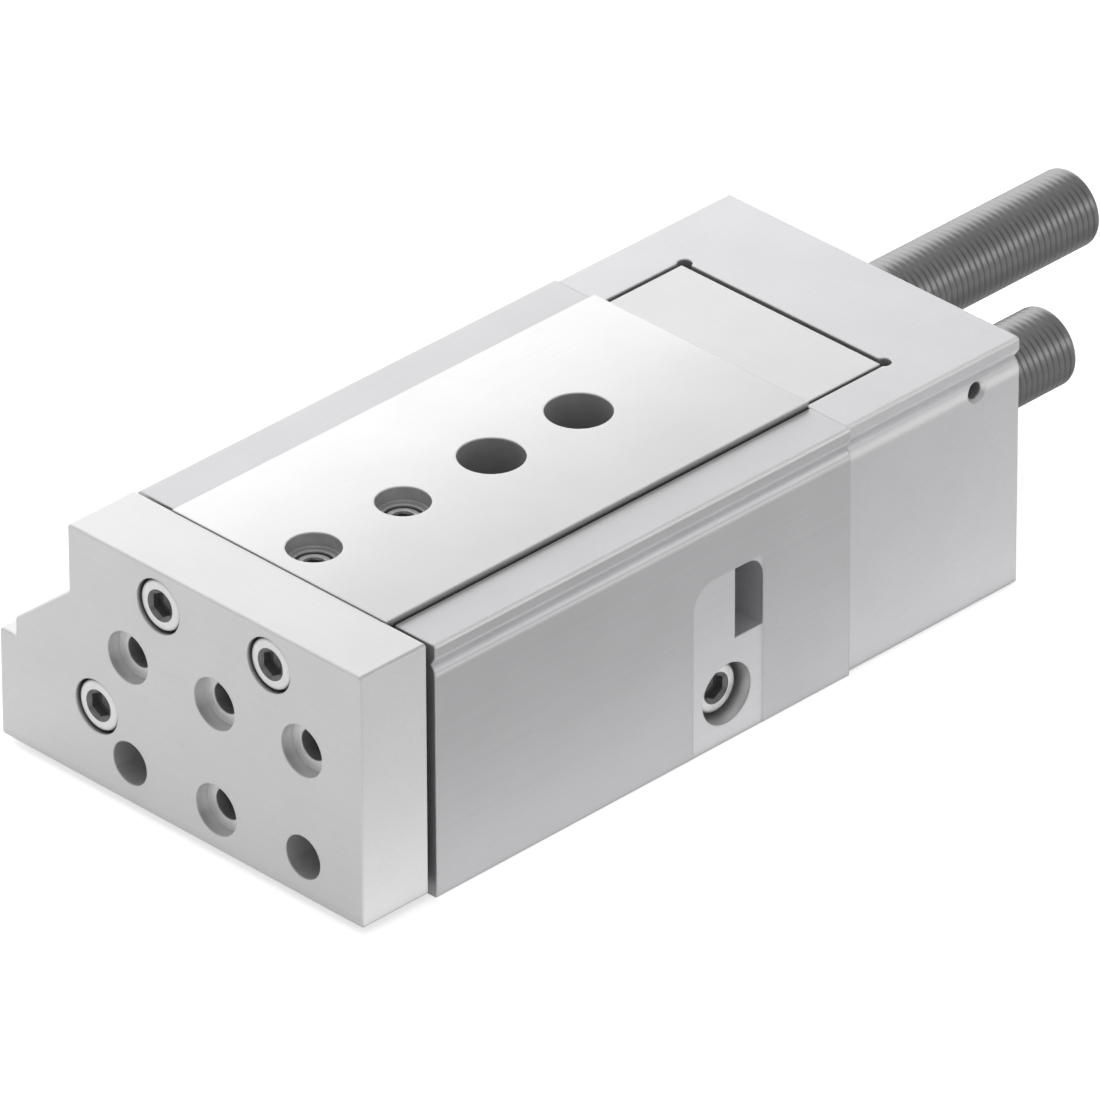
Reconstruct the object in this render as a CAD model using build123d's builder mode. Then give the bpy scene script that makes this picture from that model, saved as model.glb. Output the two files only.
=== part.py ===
# Compact pneumatic slide table, in millimetres.
# The origin is the centre of the base bolt pattern, on the housing's underside.
# +X is to the right, +Y runs to the rear along the stroke, +Z is up.
# The table moves out along -Y. The model stands at the retracted end of its stroke.

import os
from build123d import *

os.makedirs("parts", exist_ok=True)

# Running and seating clearances
thread_gap = 0.05
fit_gap = 0.05
jaw_gap = 0.1
running_gap = 0.15
track_gap = 0.05
screw_gap = 0.2
level_gap = 0.2
cut_over = 1.0

# Overall form of the housing
grid = 15.0
stroke = 40.0
housing_length = 71.0
housing_height = 35.5
pattern_shift = 0.7
side_wall = 7.2
bulge_width = 12.5
bulge_step = 2.85
shoulder_drop = 8.9
riser_rise = 6.6
ledge_rise = 4.0
edge_round = 0.45

# Rear cap
cap_length = 30.25
cap_inset = 0.5
cap_bottom = 0.2
cavity_gap_rear = 0.8
cavity_gap_side = 0.65
relief_radius = 1.0
relief_inward = 0.6

# Yoke plate at the front of the table
yoke_thickness = 11.0
yoke_gap = 1.1
yoke_inset = 0.35
yoke_bottom = 1.0
yoke_rise = 0.7
yoke_round = 0.3

# Slide rail that carries the load
slide_half = 18.4
slide_step = 1.4
slide_rise = 0.8
slide_thickness = 9.1
lip_thickness = 2.7

# Channel through the housing
wall_gap_left = 0.8
wall_gap_right = 0.3
channel_inset = 1.0
channel_corner = 6.6

# Ball guide
ball_radius = 1.5
ball_count = 7
ball_pitch = 4.0
ball_drop = 6.0
ball_inset = 0.8
rail_inset = 0.2
rail_thickness = 3.0
cage_thickness = 0.8
cage_height = 5.4
cage_margin = 2.2
cage_start = 0.6

# Cylinder on the left
cylinder_inset = 4.9
cylinder_z = 12.2
bore_radius = 5.0
rod_radius = 3.0
rod_neck = 1.1
piston_length = 8.0
piston_end_gap = 0.55
ring_groove_depth = 1.1
ring_groove_length = 1.8
ring_length = 1.6
seal_groove_start = 1.4
magnet_groove_start = 4.8
bearing_start = 2.2
bearing_length = 6.8
seal_pocket_width = 1.3
seal_pocket_depth = 2.0
wiper_length = 0.9
retainer_length = 1.0
retainer_depth = 0.4
retainer_width = 2.4
plug_length = 4.95
plug_groove_start = 1.8
plug_groove_depth = 0.9

# Shock absorbers
absorber_drop = 7.2
absorber_radius = 5.35
absorber_length = 76.15
absorber_rim = 0.8
absorber_free_gap = 0.5
fixed_absorber_inside = 25.5
moving_absorber_behind = 1.75
buffer_travel = 8.0
buffer_head_radius = 2.4
buffer_head = 1.5
buffer_rod_radius = 1.5
buffer_inside = 3.5
buffer_bore_gap = 0.1
buffer_spare = 0.6
adjuster_key = 4.0
adjuster_depth = 3.0

# Blocks that carry and stop the absorbers
end_block_length = 13.65
end_block_inset = 1.35
end_block_shift = 0.3
end_block_drop = 0.85
leg_length = 5.8
leg_half = 6.3
leg_rounding = 0.998
nut_length = 3.0
nut_slot_width = 1.6
nut_slot_depth = 0.4
lug_length = 6.5
lug_half = 5.9
lug_screw_step = 2.6
lug_screw_recess = 2.9
stop_length = 10.0
stop_rise = 5.1
jaw_length = 8.0
jaw_inward = 4.7
jaw_outward = 5.7
jaw_bottom = 3.3
jaw_drop = 3.5

# Pad and window on the right side, measured forward from the housing's rear
pad_reach = 27.25
pad_end = 15.1
pad_rise = 4.3
pad_depth = 0.2
pad_corner = 3.5
window_reach = 19.9
window_drop = 5.75
window_rise = 4.1
window_corner = 2.6
clamp_reach = 21.3
clamp_z = 6.9
clamp_sink_radius = 4.2
clamp_below = 1.8

# Groove along the right side of housing and cap
groove_drop = 1.7
groove_height = 2.95
groove_depth = 0.8
groove_flank = 1.15

# Fasteners: shank, head, head height and key of each cap screw
m25_shank = 1.25
m25_head = 2.25
m25_head_height = 2.5
m25_key = 2.0
m4_shank = 2.0
m4_head = 3.5
m4_head_height = 4.0
m4_key = 3.0
m5_shank = 2.5
set_screw_key = 2.5
set_screw_length = 6.0
set_screw_drop = 0.3
m25_grip = 5.0
m4_grip = 8.0
thread_spare = 1.0

# Holes for fasteners and services
m5_core = 2.1
centring_radius = 3.5
centring_depth = 2.0
through_radius = 2.75
through_sink_radius = 4.5
through_sink_depth = 5.5
access_radius = 4.3
yoke_plain_radius = 2.95
yoke_row_z = 21.6
yoke_screw_x = 9.5
yoke_screw_drop = 5.1
base_depth = 7.0
sink_radius = 3.7
sink_depth = 4.3
head_below = 0.4
under_head_below = 0.3
cap_screw_inset = 5.05
cap_screw_low = 5.5
cap_screw_rise = 0.7
cap_screw_drop = 3.1
cap_screw_over_bore = 0.12
cap_screw_beside_bore = 1.46
port_z = 8.3
port_start = 5.5
port_depth = 5.0
port_face_radius = 4.0
port_face_depth = 0.3
rear_port_inner = 5.8
rear_port_outer = 13.3
vent_start = 22.75
vent_drop = 4.65
vent_radius = 1.15
vent_depth = 4.0
vent_face_radius = 1.6
sensor_low = 4.6
sensor_high = 11.6
sensor_mouth = 2.8
sensor_radius = 2.0
sensor_centre = 2.3

# Places along the stroke
housing_front = pattern_shift - housing_length / 2
housing_rear = housing_front + housing_length
cap_rear = housing_rear + cap_length
yoke_rear = housing_front - yoke_gap
yoke_front = yoke_rear - yoke_thickness
end_block_rear = housing_rear + end_block_length
leg_front = end_block_rear - leg_length
cavity_rear = end_block_rear + cavity_gap_rear
fixed_absorber_front = housing_rear - fixed_absorber_inside
moving_absorber_front = housing_rear + moving_absorber_behind
lug_rear = fixed_absorber_front - buffer_head - 2 * fit_gap
stop_rear = moving_absorber_front - buffer_head - stroke - 2 * fit_gap
lug_y = lug_rear - lug_length / 2
stop_y = stop_rear - stop_length / 2
clamp_y = housing_rear - clamp_reach
cage_front = housing_front + stroke / 2 + cage_start
bearing_front = housing_front + bearing_start
plug_front = housing_rear - plug_length
piston_front = plug_front - piston_end_gap - piston_length

# Heights
slide_top = housing_height + slide_rise
slide_bottom = slide_top - slide_thickness
lip_bottom = slide_top - lip_thickness
rail_top = lip_bottom - level_gap
rail_bottom = slide_bottom - level_gap
ball_z = slide_top - ball_drop
yoke_top = housing_height + yoke_rise
absorber_z = slide_bottom - absorber_drop
channel_floor = absorber_z - channel_corner
shoulder_z = housing_height - shoulder_drop
jaw_top = absorber_z - jaw_drop
end_block_top = slide_top - end_block_drop

# Places across the stroke
right_side = slide_half + side_wall
left_side = -right_side
bulge_side = left_side - bulge_width
cylinder_x = left_side + cylinder_inset
slide_waist = slide_half - slide_step
channel_half = slide_half - channel_inset
absorber_x = channel_half - channel_corner
jaw_left = absorber_x - jaw_inward
jaw_right = absorber_x + jaw_outward
ball_x = slide_half - ball_inset
rail_face = slide_half - rail_inset
rail_back = rail_face + rail_thickness
lip_left = -slide_half - wall_gap_left
lip_right = slide_half + wall_gap_right
end_block_left = end_block_shift + end_block_inset - slide_half
end_block_right = end_block_shift - end_block_inset + slide_half
cavity_left = end_block_left - cavity_gap_side
cavity_right = end_block_right + cavity_gap_side
cap_right = right_side - cap_inset
cap_bulge = bulge_side + cap_inset

M25 = (m25_shank, m25_head, m25_head_height, m25_key)
M4 = (m4_shank, m4_head, m4_head_height, m4_key)

# Spots where fasteners sit, shared by each screw and the holes that take it
yoke_screw_z = slide_top - yoke_screw_drop
yoke_screw_spots = [(-yoke_screw_x, yoke_screw_z), (yoke_screw_x, yoke_screw_z)]
rod_spot = [(cylinder_x, cylinder_z)]
yoke_centring_spots = [(-grid, yoke_row_z), (0, yoke_row_z), (grid, yoke_row_z), (0, yoke_row_z - grid)]
yoke_plain_spots = [(-grid, yoke_row_z - grid), (grid, yoke_row_z - grid)]
grid_steps = int((housing_length / 2 - centring_radius) // grid)
grid_reach = grid_steps * grid
slide_centring_spots = [(0, -(n + 1) * grid) for n in range(grid_steps)]
slide_access_spots = [(0, 0), (0, grid)]
base_spots = [(x, y) for x in (-grid, grid) for y in (-grid_reach, grid_reach)]
base_centring_spots = [(0, -grid_reach), (0, grid_reach)]
lug_screw_x = (absorber_x - lug_screw_step, absorber_x + lug_screw_step)
cap_screw_spots = [
    (right_side - cap_screw_inset, absorber_z + cap_screw_rise),
    (right_side - cap_screw_inset, cap_screw_low),
    (cylinder_x - cap_screw_over_bore * bore_radius, shoulder_z - cap_screw_drop),
    (cylinder_x - cap_screw_beside_bore * bore_radius, bore_radius),
]
rear_port_spots = [(cylinder_x - reach, cylinder_z) for reach in (rear_port_outer, rear_port_inner)]
side_port_y = (housing_rear + port_start, housing_rear + port_start + grid)


def facing_front(y):
    return Plane(origin=(0, y, 0), x_dir=(1, 0, 0), z_dir=(0, -1, 0))


def facing_rear(y):
    return Plane(origin=(0, y, 0), x_dir=(-1, 0, 0), z_dir=(0, 1, 0))


def facing_right(x):
    return Plane(origin=(x, 0, 0), x_dir=(0, 1, 0), z_dir=(1, 0, 0))


def facing_left(x):
    return Plane(origin=(x, 0, 0), x_dir=(0, -1, 0), z_dir=(-1, 0, 0))


def facing_down(z):
    return Plane(origin=(0, 0, z), x_dir=(1, 0, 0), z_dir=(0, 0, -1))


def on_plane(plane, points):
    """Locations at points given in the plane's own two directions."""
    return [plane.location * Location((u, v, 0)) for u, v in points]


def seen_from_rear(points):
    """The same X, Z points as a plane that faces the rear counts them."""
    return [(-x, z) for x, z in points]


def end_outline(inset, bottom, top):
    """End outline shared by housing, cap and yoke: upright block with a low bulge on the left."""
    right = right_side - inset
    left = left_side + inset
    bulge = bulge_side + inset
    riser = bulge + bulge_step
    with BuildSketch() as outline:
        with BuildLine():
            Polyline(
                (right, bottom),
                (right, top),
                (left, top),
                (left, shoulder_z),
                (riser, cylinder_z + riser_rise),
                (riser, cylinder_z + ledge_rise),
                (bulge, cylinder_z + ledge_rise),
                (bulge, bottom),
                close=True,
            )
        make_face()
        fillet(outline.vertices(), edge_round)
    return outline.sketch


def channel_outline(half, floor, top):
    """Square-topped channel whose two lower corners are rounded."""
    with BuildSketch() as outline:
        with Locations((0, (floor + top) / 2)):
            Rectangle(2 * half, top - floor)
        fillet(outline.vertices().group_by(Axis.Y)[0], channel_corner)
    return outline.sketch


def span(left, right, bottom, top):
    """Rectangle given by its four sides."""
    with BuildSketch() as outline:
        with Locations(((left + right) / 2, (bottom + top) / 2)):
            Rectangle(right - left, top - bottom)
    return outline.sketch


def rounded_block(x, half, bottom, top):
    """Upright block whose lower corners follow the channel's round corners."""
    with BuildSketch() as outline:
        with Locations((x, (bottom + top) / 2)):
            Rectangle(2 * half, top - bottom)
        fillet(outline.vertices().group_by(Axis.Y)[0], leg_rounding * half)
    return outline.sketch


def groove_outline(face):
    """Side groove with a slanted upper flank and a round shoulder below it."""
    top = housing_height - groove_drop
    deepest = (face - groove_depth, top - groove_flank)
    shoulder = (face, top - groove_height)
    with BuildSketch() as outline:
        with BuildLine():
            TangentArc(shoulder, deepest, tangent=(0, 1))
            Polyline(
                deepest,
                (face, top),
                (face + cut_over, top),
                (face + cut_over, top - groove_height),
                shoulder,
            )
        make_face()
    return outline.sketch


def drill_up(radius, depth):
    """Round hole that rises from each of the current locations."""
    Cylinder(radius, depth, align=(Align.CENTER, Align.CENTER, Align.MIN), mode=Mode.SUBTRACT)


def cap_screws(spots, size, length):
    """Socket head cap screws whose head tops lie at the spots, heads outward."""
    shank, head, head_height, key = size
    with BuildPart() as screws:
        with Locations(*spots):
            Cylinder(head, head_height, align=(Align.CENTER, Align.CENTER, Align.MAX))
            with Locations((0, 0, -head_height)):
                Cylinder(shank, length, align=(Align.CENTER, Align.CENTER, Align.MAX))
        for spot in spots:
            with BuildSketch(Plane(spot)):
                RegularPolygon(key / 2, 6, major_radius=False)
            extrude(amount=-head_height / 2, mode=Mode.SUBTRACT)
    return screws


def set_screws(spots, length):
    """Headless M5 screws with a socket, whose outer ends lie at the spots."""
    with BuildPart() as screws:
        with Locations(*spots):
            Cylinder(m5_shank, length, align=(Align.CENTER, Align.CENTER, Align.MAX))
        for spot in spots:
            with BuildSketch(Plane(spot)):
                RegularPolygon(set_screw_key / 2, 6, major_radius=False)
            extrude(amount=-length / 2, mode=Mode.SUBTRACT)
    return screws


def cylinder_ring(front, length, inner, outer):
    """Round ring on the cylinder's axis."""
    with BuildPart() as part:
        with BuildSketch(facing_front(front)):
            with Locations(*rod_spot):
                Circle(outer)
                Circle(inner, mode=Mode.SUBTRACT)
        extrude(amount=-length)
    return part


def absorber(x, front):
    """Threaded absorber body: bored for its plunger in front, adjuster socket behind."""
    with BuildPart() as body:
        with BuildSketch(facing_front(front)):
            with Locations((x, absorber_z)):
                Circle(absorber_radius)
        extrude(amount=-absorber_length)
        fillet(body.edges().filter_by(GeomType.CIRCLE), absorber_rim)
        with Locations(*on_plane(facing_front(front), [(x, absorber_z)])):
            Hole(buffer_rod_radius + buffer_bore_gap, buffer_travel + buffer_inside + buffer_spare)
        with BuildSketch(facing_rear(front + absorber_length)):
            with Locations((-x, absorber_z)):
                RegularPolygon(adjuster_key / 2, 6, major_radius=False)
        extrude(amount=-adjuster_depth, mode=Mode.SUBTRACT)
    return body


def plunger(x, head_front):
    """Plunger of an absorber: round striking head on a ground rod."""
    with BuildPart() as part:
        with BuildSketch(facing_front(head_front)):
            with Locations((x, absorber_z)):
                Circle(buffer_head_radius)
        extrude(amount=-buffer_head)
        with BuildSketch(facing_front(head_front + buffer_head)):
            with Locations((x, absorber_z)):
                Circle(buffer_rod_radius)
        extrude(amount=-buffer_travel - buffer_inside)
    return part


def save(piece, name):
    piece.part.label = name
    export_step(piece.part, "parts/" + name + ".step")


# Housing: machined profile with the guide channel, cylinder bore and side details
with BuildPart() as housing:
    with BuildSketch(facing_front(housing_front)):
        add(end_outline(0, 0, housing_height))
    extrude(amount=-housing_length)
    with BuildSketch(facing_front(housing_front)):
        add(channel_outline(channel_half, channel_floor, rail_bottom))
        add(span(-rail_back, rail_back, rail_bottom, rail_top))
        add(span(lip_left, lip_right, rail_top, housing_height + cut_over))
        add(groove_outline(right_side))
        with Locations(*rod_spot):
            Circle(bore_radius)
        for level in (sensor_low, sensor_high):
            mouth = (level - sensor_mouth / 2, level + sensor_mouth / 2)
            add(span(bulge_side, bulge_side + sensor_centre, *mouth))
            with Locations((bulge_side + sensor_centre, level)):
                Circle(sensor_radius)
    extrude(amount=-housing_length, mode=Mode.SUBTRACT)
    with BuildSketch(facing_front(bearing_front - retainer_length - jaw_gap)):
        with Locations(*rod_spot):
            Circle(bore_radius + retainer_depth)
    extrude(amount=-retainer_length - jaw_gap, mode=Mode.SUBTRACT)
    with BuildSketch(facing_right(right_side)) as pad:
        add(span(housing_rear - pad_reach, housing_rear - pad_end, 0, absorber_z + pad_rise))
        fillet(pad.vertices().group_by(Axis.Y)[-1].sort_by(Axis.X)[0], pad_corner)
    extrude(amount=-pad_depth, mode=Mode.SUBTRACT)
    with BuildSketch(facing_right(right_side)) as window:
        window_sides = (housing_rear - window_reach, housing_rear - pad_end)
        add(span(*window_sides, absorber_z - window_drop, absorber_z + window_rise))
        fillet(window.vertices().group_by(Axis.Y)[-1].sort_by(Axis.X)[-1], window_corner)
    extrude(amount=channel_half - right_side - cut_over, mode=Mode.SUBTRACT)
    with Locations(*on_plane(facing_right(right_side - pad_depth), [(clamp_y, clamp_z)])):
        clamp_sink_depth = clamp_below + m4_head_height + jaw_gap
        CounterBoreHole(m4_shank + jaw_gap, clamp_sink_radius, clamp_sink_depth, right_side - jaw_left)
    with BuildSketch(Plane.XY.offset(jaw_top)):
        half_jaw = jaw_length / 2 + jaw_gap
        add(span(jaw_left - jaw_gap, jaw_right + jaw_gap, clamp_y - half_jaw, clamp_y + half_jaw))
    extrude(amount=jaw_bottom - jaw_gap - jaw_top, mode=Mode.SUBTRACT)
    with Locations(*on_plane(Plane.XY.offset(channel_floor), slide_access_spots)):
        CounterBoreHole(through_radius, through_sink_radius, through_sink_depth, channel_floor)
    with Locations((-absorber_x, stop_y, 0)):
        drill_up(m4_shank + screw_gap, absorber_z)
        drill_up(sink_radius, m4_head_height + head_below)
    with Locations(*on_plane(Plane.XY, base_spots)):
        drill_up(m5_core, base_depth)
    with Locations(*on_plane(Plane.XY, base_centring_spots)):
        drill_up(centring_radius, centring_depth)
    with Locations(*on_plane(facing_rear(housing_rear), seen_from_rear(cap_screw_spots))):
        Hole(m4_shank + thread_gap, m4_grip + 2 * thread_spare)
save(housing, "housing")

# Rear cap: closes the cylinder, wraps round the end block and holds the fixed absorber
with BuildPart() as rear_cap:
    with BuildSketch(facing_front(housing_rear)):
        add(end_outline(cap_inset, cap_bottom, housing_height))
    extrude(amount=-cap_length)
    with BuildSketch(facing_front(housing_rear)):
        add(channel_outline(channel_half, channel_floor, slide_bottom))
        add(span(cavity_left, cavity_right, rail_bottom, housing_height + cut_over))
    extrude(amount=housing_rear - cavity_rear, mode=Mode.SUBTRACT)
    with BuildSketch(Plane.XY.offset(housing_height)):
        for relief_x in (cavity_left + relief_inward, cavity_right - relief_inward):
            with Locations((relief_x, cavity_rear - level_gap)):
                Circle(relief_radius)
    extrude(amount=slide_bottom - housing_height, mode=Mode.SUBTRACT)
    with BuildSketch(facing_front(cavity_rear)):
        with Locations((-absorber_x, absorber_z)):
            Circle(absorber_radius + absorber_free_gap)
        with Locations((absorber_x, absorber_z)):
            Circle(absorber_radius + thread_gap)
    extrude(amount=cavity_rear - cap_rear, mode=Mode.SUBTRACT)
    with BuildSketch(facing_front(housing_rear)):
        add(groove_outline(cap_right))
    extrude(amount=-cap_length, mode=Mode.SUBTRACT)
    with Locations(*on_plane(facing_rear(cap_rear), seen_from_rear(cap_screw_spots))):
        cap_sink_depth = m4_head_height + head_below + jaw_gap
        CounterBoreHole(m4_shank + screw_gap, sink_radius, cap_sink_depth, cap_length)
    vent_spot = (housing_rear + vent_start, housing_height - vent_drop)
    with Locations(*on_plane(facing_right(cap_right), [vent_spot])):
        CounterSinkHole(vent_radius, vent_face_radius, vent_depth)
    with Locations(*on_plane(facing_left(cap_bulge), [(-y, port_z) for y in side_port_y])):
        CounterBoreHole(m5_core, port_face_radius, port_face_depth, port_depth)
    with Locations(*on_plane(facing_rear(cap_rear), seen_from_rear(rear_port_spots))):
        Hole(m5_shank + thread_gap, port_depth)
save(rear_cap, "rear_cap")

cap_head_plane = facing_rear(cap_rear - head_below)
cap_screw_length = cap_length - head_below - m4_head_height + m4_grip
cap_head_spots = on_plane(cap_head_plane, seen_from_rear(cap_screw_spots))
save(cap_screws(cap_head_spots, M4, cap_screw_length), "cap_screws")
port_plug_spots = on_plane(cap_head_plane, seen_from_rear(rear_port_spots))
save(set_screws(port_plug_spots, port_depth - head_below - level_gap), "port_plugs")

# Hardened guide rails in the housing, one each side
for name, side in (("guide_rail_left", -1), ("guide_rail_right", 1)):
    with BuildPart() as rail:
        with BuildSketch(facing_front(housing_front)):
            with Locations((side * (rail_face + rail_back) / 2, (rail_bottom + rail_top) / 2)):
                Rectangle(rail_back - rail_face, rail_top - rail_bottom)
            with Locations((side * ball_x, ball_z)):
                Circle(ball_radius + track_gap, mode=Mode.SUBTRACT)
        extrude(amount=-housing_length)
    save(rail, name)

# Ball cages, each with one row of balls that rolls half as far as the table
cage_length = 2 * cage_margin + (ball_count - 1) * ball_pitch
for suffix, side in (("left", -1), ("right", 1)):
    first_ball = cage_front + cage_margin
    ball_spots = [(side * ball_x, first_ball + n * ball_pitch, ball_z) for n in range(ball_count)]
    with BuildPart() as cage:
        with Locations((side * ball_x, cage_front + cage_length / 2, ball_z)):
            Box(cage_thickness, cage_length, cage_height)
        with Locations(*ball_spots):
            Cylinder(ball_radius + fit_gap, 2 * cage_thickness, rotation=(0, 90, 0), mode=Mode.SUBTRACT)
    save(cage, "ball_cage_" + suffix)
    with BuildPart() as balls:
        with Locations(*ball_spots):
            Sphere(ball_radius)
    save(balls, "balls_" + suffix)

# Cylinder parts that stay in the housing, front end first
rod_clear = rod_radius + fit_gap
with BuildPart() as rod_bearing:
    with BuildSketch(facing_front(bearing_front)):
        with Locations(*rod_spot):
            Circle(bore_radius - fit_gap)
            Circle(rod_clear, mode=Mode.SUBTRACT)
    extrude(amount=-bearing_length)
    with BuildSketch(facing_front(bearing_front)):
        with Locations(*rod_spot):
            Circle(rod_radius + seal_pocket_width)
    extrude(amount=-seal_pocket_depth, mode=Mode.SUBTRACT)
save(rod_bearing, "rod_bearing")

rod_seal_outer = rod_radius + seal_pocket_width - fit_gap
rod_seal = cylinder_ring(bearing_front, seal_pocket_depth - jaw_gap, rod_clear, rod_seal_outer)
save(rod_seal, "rod_seal")
rod_wiper = cylinder_ring(housing_front + jaw_gap, wiper_length, rod_clear, bore_radius - fit_gap)
save(rod_wiper, "rod_wiper")

with BuildPart() as retaining_ring:
    with BuildSketch(facing_front(bearing_front - retainer_length - fit_gap)):
        with Locations(*rod_spot):
            Circle(bore_radius + retainer_depth - fit_gap)
            Circle(bore_radius - retainer_width / 2 - jaw_gap, mode=Mode.SUBTRACT)
        with Locations((cylinder_x, cylinder_z - bore_radius)):
            Rectangle(retainer_width, retainer_width, mode=Mode.SUBTRACT)
    extrude(amount=-retainer_length)
save(retaining_ring, "retaining_ring")

with BuildPart() as cylinder_plug:
    with BuildSketch(facing_front(plug_front)):
        with Locations(*rod_spot):
            Circle(bore_radius - fit_gap)
    extrude(amount=-plug_length)
    with BuildSketch(facing_front(plug_front + plug_groove_start)):
        with Locations(*rod_spot):
            Circle(bore_radius)
            Circle(bore_radius - plug_groove_depth, mode=Mode.SUBTRACT)
    extrude(amount=-ring_length, mode=Mode.SUBTRACT)
save(cylinder_plug, "cylinder_plug")

plug_seal_front = plug_front + plug_groove_start + fit_gap
plug_seal_length = ring_length - 2 * fit_gap
plug_seal_radii = (bore_radius - plug_groove_depth + fit_gap, bore_radius - fit_gap / 2)
save(cylinder_ring(plug_seal_front, plug_seal_length, *plug_seal_radii), "plug_seal")

# Shock absorbers, at rest: the fixed one struck home, the moving one let out
save(absorber(absorber_x, fixed_absorber_front), "fixed_absorber")
save(plunger(absorber_x, fixed_absorber_front - buffer_head - fit_gap), "fixed_absorber_plunger")
save(absorber(-absorber_x, moving_absorber_front), "moving_absorber")
let_out = moving_absorber_front - buffer_head - buffer_travel - fit_gap
save(plunger(-absorber_x, let_out), "moving_absorber_plunger")

# Jaw and screw that lock the fixed absorber
with BuildPart() as clamp_jaw:
    with BuildSketch(facing_front(clamp_y - jaw_length / 2)):
        add(span(jaw_left, jaw_right, jaw_bottom, jaw_top))
        with Locations((absorber_x, absorber_z)):
            Circle(absorber_radius + fit_gap, mode=Mode.SUBTRACT)
    extrude(amount=-jaw_length)
    with Locations(*on_plane(facing_right(jaw_right), [(clamp_y, clamp_z)])):
        Hole(m4_shank + thread_gap, jaw_right - jaw_left)
save(clamp_jaw, "clamp_jaw")

clamp_head = right_side - pad_depth - clamp_below
clamp_screw_length = clamp_head - m4_head_height - jaw_left - thread_spare
clamp_screw_spots = on_plane(facing_right(clamp_head), [(clamp_y, clamp_z)])
save(cap_screws(clamp_screw_spots, M4, clamp_screw_length), "clamp_screw")

# Stop on the channel floor that the moving absorber runs against, screwed on from below
with BuildPart() as travel_stop:
    with BuildSketch(facing_front(stop_rear - stop_length)):
        add(rounded_block(-absorber_x, leg_half, channel_floor, absorber_z + stop_rise))
    extrude(amount=-stop_length)
    with Locations((-absorber_x, stop_y, channel_floor)):
        drill_up(m4_shank + thread_gap, m4_grip - thread_spare)
save(travel_stop, "travel_stop")
stop_screw_length = channel_floor - under_head_below - m4_head_height + m4_grip - 2 * thread_spare
stop_screw_spots = on_plane(facing_down(under_head_below), [(-absorber_x, -stop_y)])
save(cap_screws(stop_screw_spots, M4, stop_screw_length), "travel_stop_screw")

# Slide: ground rail that carries the load, with a ball track on each flank
with BuildPart() as slide:
    with BuildSketch(facing_front(yoke_rear)):
        add(span(-slide_waist, slide_waist, slide_bottom, slide_top))
        add(span(-slide_half, slide_half, lip_bottom, slide_top))
        with Locations((-ball_x, ball_z), (ball_x, ball_z)):
            Circle(ball_radius + track_gap, mode=Mode.SUBTRACT)
    extrude(amount=yoke_rear - housing_rear)
    with Locations(*on_plane(Plane.XY.offset(slide_top), slide_centring_spots)):
        CounterBoreHole(m5_shank + thread_gap, centring_radius, centring_depth, slide_thickness)
    with Locations(*on_plane(Plane.XY.offset(slide_top), slide_access_spots)):
        Hole(access_radius, slide_thickness)
    with Locations(*on_plane(facing_front(yoke_rear), yoke_screw_spots)):
        Hole(m4_shank + thread_gap, m4_grip + 2 * thread_spare)
    with Locations(*on_plane(facing_rear(housing_rear), seen_from_rear(yoke_screw_spots))):
        Hole(m4_shank + thread_gap, m4_grip + thread_spare)
    with Locations(*[(x, lug_y, slide_bottom) for x in lug_screw_x]):
        drill_up(m25_shank + thread_gap, m25_grip + thread_spare)
save(slide, "slide")

grub_plane = Plane.XY.offset(slide_top - centring_depth - set_screw_drop)
save(set_screws(on_plane(grub_plane, slide_centring_spots), set_screw_length), "slide_set_screws")

# Yoke plate: joins the slide and the piston rod at the front
with BuildPart() as yoke:
    with BuildSketch(facing_front(yoke_front)):
        add(end_outline(yoke_inset, yoke_bottom, yoke_top))
    extrude(amount=-yoke_thickness)
    yoke_ends = yoke.faces().sort_by(Axis.Y)
    fillet(yoke_ends[0].edges() + yoke_ends[-1].edges(), yoke_round)
    with Locations(*on_plane(facing_front(yoke_front), yoke_screw_spots + rod_spot)):
        CounterBoreHole(m4_shank + screw_gap, sink_radius, sink_depth, yoke_thickness)
    with Locations(*on_plane(facing_front(yoke_front), yoke_centring_spots)):
        CounterBoreHole(m5_core, centring_radius, centring_depth, yoke_thickness)
    with Locations(*on_plane(facing_front(yoke_front), yoke_plain_spots)):
        Hole(yoke_plain_radius, yoke_thickness)
save(yoke, "yoke_plate")

yoke_head_plane = facing_front(yoke_front + sink_depth - m4_head_height)
rod_screw_length = yoke_thickness - sink_depth + m4_grip
yoke_screw_length = rod_screw_length + thread_spare
save(cap_screws(on_plane(yoke_head_plane, yoke_screw_spots), M4, yoke_screw_length), "yoke_screws")
save(cap_screws(on_plane(yoke_head_plane, rod_spot), M4, rod_screw_length), "rod_screw")

# Piston rod with a neck for the piston
with BuildPart() as piston_rod:
    with BuildSketch(facing_front(yoke_rear)):
        with Locations(*rod_spot):
            Circle(rod_radius)
    extrude(amount=yoke_rear - piston_front)
    with BuildSketch(facing_front(piston_front)):
        with Locations(*rod_spot):
            Circle(rod_radius - rod_neck)
    extrude(amount=thread_spare - piston_length)
    with Locations(*on_plane(facing_front(yoke_rear), rod_spot)):
        Hole(m4_shank + thread_gap, m4_grip + thread_spare)
save(piston_rod, "piston_rod")

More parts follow.
